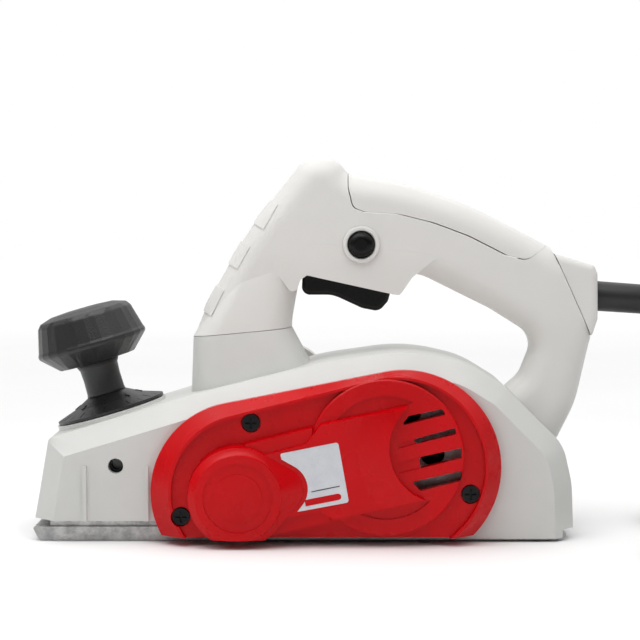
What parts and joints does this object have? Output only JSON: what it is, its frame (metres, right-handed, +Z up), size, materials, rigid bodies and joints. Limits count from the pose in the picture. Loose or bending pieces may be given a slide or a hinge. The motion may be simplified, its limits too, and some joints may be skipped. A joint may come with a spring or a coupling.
{
  "type": "electric hand planer",
  "caption": "Corded hand planer with a D handle, faceted depth knob, red belt cover, moving front sole, belt-driven two-blade drum and side chip outlet.",
  "frame": {"origin": "on the rear sole, under the middle of the tool", "axes": "+X to the rear of the tool, +Z up out of the wood, belt cover on -Y"},
  "size_m": [0.4527, 0.196, 0.2074],
  "materials": {
    "shell": "satin",
    "cover": "semi-gloss",
    "black": "satin",
    "trim": "satin",
    "rubber": "matt",
    "alloy": "cast",
    "label": "printed silver foil",
    "screw": "black oxide",
    "steel": "ground",
    "lamination": "varnished",
    "copper": "enamelled",
    "carbon": "matt",
    "brass": "plain"
  },
  "bodies": {
    "housing": {"belt_cover": "cover", "body_housing": "shell", "brush_holders": "black", "brushes": "carbon", "capacitor": "black", "chip_duct": "shell", "cord": "rubber", "cord_coil": "rubber", "cord_guard": "rubber", "cord_tail": "rubber", "cover_screws": "screw", "drive_belt": "rubber", "drum_bearing_left": "steel", "drum_bearing_right": "steel", "guide_inserts": "brass", "handle_left": "shell", "handle_right": "shell", "handle_screws": "screw", "label_plate": "label", "lock_ring": "trim", "motor_bearing_front": "steel", "motor_bearing_rear": "steel", "motor_end_plate": "alloy", "plug_body": "rubber", "plug_pins": "brass", "rear_collar": "shell", "rear_shoe": "alloy", "rear_shoe_screws": "screw", "right_cover": "cover", "right_cover_screws": "screw", "stator_coils": "copper", "stator_core": "lamination", "switch_body": "black", "top_grip_panel": "shell", "trigger_pin": "screw"},
    "depth_knob": {"depth_knob": "black", "scale_ring": "black", "depth_screw": "screw"},
    "front_shoe": {"front_shoe": "alloy", "depth_spring": "screw"},
    "cutter": {"cutter_drum": "alloy", "blade_1": "steel", "blade_2": "steel", "blade_clamp_1": "steel", "blade_clamp_2": "steel", "clamp_screws_1": "screw", "clamp_screws_2": "screw", "driven_pulley": "steel", "pulley_nut": "screw"},
    "rotor": {"rotor_shaft": "steel", "rotor_core": "lamination", "rotor_windings": "copper", "commutator": "copper", "fan": "black", "drive_pulley": "steel"},
    "trigger": {"trigger": "black"},
    "lock_button": {"lock_button": "black"}
  },
  "joints": [
    {"name": "depth_knob_turn", "type": "hinge", "parent": "housing", "child": "depth_knob", "pos_m": [-0.1072, 0, 0.0666], "axis": [0.2756, 0, -0.9613], "range_deg": [0, 240]},
    {"name": "front_shoe_slide", "type": "slide", "parent": "housing", "child": "front_shoe", "axis": [-0.2756, 0, 0.9613], "range_m": [0, 0.00207]},
    {"name": "cutter_spin", "type": "hinge", "parent": "housing", "child": "cutter", "pos_m": [-0.0334, 0, 0.027], "axis": [0, 1, 0], "continuous": true},
    {"name": "rotor_spin", "type": "hinge", "parent": "housing", "child": "rotor", "pos_m": [0.0445, 0, 0.0475], "axis": [0, 1, 0], "continuous": true},
    {"name": "trigger_pull", "type": "hinge", "parent": "housing", "child": "trigger", "pos_m": [0.0035, 0, 0.146], "axis": [0, -1, 0], "range_deg": [0, 6], "stiffness_Nm_per_rad": 1.2, "springref_deg": -8.59},
    {"name": "lock_button_push", "type": "slide", "parent": "housing", "child": "lock_button", "axis": [0, 1, 0], "range_m": [0, 0.004], "stiffness_N_per_m": 400, "springref_m": -0.003}
  ],
  "couplings": [
    {"joint": "depth_knob_turn", "follows": "front_shoe_slide", "rad_per_m": 2023.5},
    {"joint": "rotor_spin", "follows": "cutter_spin", "ratio": 1.25}
  ]
}
